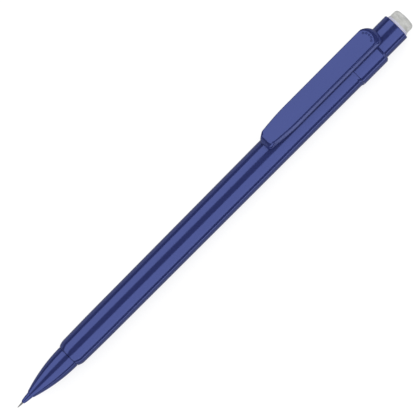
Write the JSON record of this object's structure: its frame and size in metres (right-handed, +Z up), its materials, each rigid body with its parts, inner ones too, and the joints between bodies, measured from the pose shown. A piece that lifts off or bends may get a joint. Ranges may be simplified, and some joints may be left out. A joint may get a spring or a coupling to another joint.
{
  "type": "mechanical pencil",
  "caption": "Slim push-button mechanical pencil: ogive nose cone, tapered barrel, channel pocket clip on a collar, press button with a protruding eraser, sprung collet inside.",
  "frame": {"origin": "on the surface the pencil lies on, below the middle of its length", "axes": "+X along the pencil from lead to eraser, +Z up through the pocket clip, +Y across"},
  "size_m": [0.14, 0.0092, 0.0113],
  "materials": {
    "blue_plastic": "glossy moulded plastic, solid blue",
    "white_plastic": "satin moulded plastic, bluish white",
    "eraser_rubber": "matt eraser vinyl, light grey",
    "graphite": "polymer-bound graphite, slight metallic sheen",
    "black_rubber": "matt black rubber",
    "black_plastic": "satin black plastic",
    "brass": "turned brass",
    "spring_steel": "drawn steel wire",
    "natural_plastic": "natural translucent plastic"
  },
  "bodies": {
    "root": {"barrel": "blue_plastic", "chuck_sleeve": "black_plastic", "return_spring": "spring_steel", "collar": "blue_plastic"},
    "nose_carrier": {"lead_retainer": "black_rubber"},
    "nose": {"nose_cone": "blue_plastic"},
    "plunger": {"push_button": "blue_plastic", "lead_tube": "natural_plastic", "collet_bush": "white_plastic", "collet": "brass", "spare_lead_1": "graphite", "spare_lead_2": "graphite", "spare_lead_3": "graphite"},
    "eraser_unit": {"eraser_holder": "white_plastic", "eraser": "eraser_rubber"},
    "clutch": {"clutch_ring": "brass"},
    "lead_stick": {"lead": "graphite"},
    "clip_arm": {"clip": "blue_plastic"}
  },
  "joints": [
    {"name": "button_press", "type": "slide", "parent": "root", "child": "plunger", "axis": [-1, 0, 0], "range_m": [0, 0.0025], "stiffness_N_per_m": 400, "springref_m": -0.004, "deforming": ["return_spring"]},
    {"name": "clutch_travel", "type": "slide", "parent": "root", "child": "clutch", "axis": [-1, 0, 0], "range_m": [0, 0.001]},
    {"name": "lead_feed", "type": "slide", "parent": "root", "child": "lead_stick", "axis": [-1, 0, 0], "range_m": [0, 0.001]},
    {"name": "eraser_pull", "type": "slide", "parent": "plunger", "child": "eraser_unit", "axis": [1, 0, 0], "range_m": [0, 0.013]},
    {"name": "nose_advance", "type": "slide", "parent": "root", "child": "nose_carrier", "axis": [-1, 0, 0], "range_m": [0, 0.0054]},
    {"name": "nose_turn", "type": "hinge", "parent": "nose_carrier", "child": "nose", "pos_m": [-0.05, 0, 0.0046], "axis": [-1, 0, 0], "range_deg": [0, 2160]},
    {"name": "clip_flex", "type": "hinge", "parent": "root", "child": "clip_arm", "pos_m": [0.0565, 0, 0.009], "axis": [0, 1, 0], "range_deg": [0, 4], "stiffness_Nm_per_rad": 0.05, "springref_deg": -2.86}
  ],
  "couplings": [
    {"joint": "clutch_travel", "follows": "button_press", "ratio": 0.4},
    {"joint": "lead_feed", "follows": "button_press", "ratio": 0.4},
    {"joint": "nose_turn", "follows": "nose_advance", "rad_per_m": 6981.3}
  ]
}
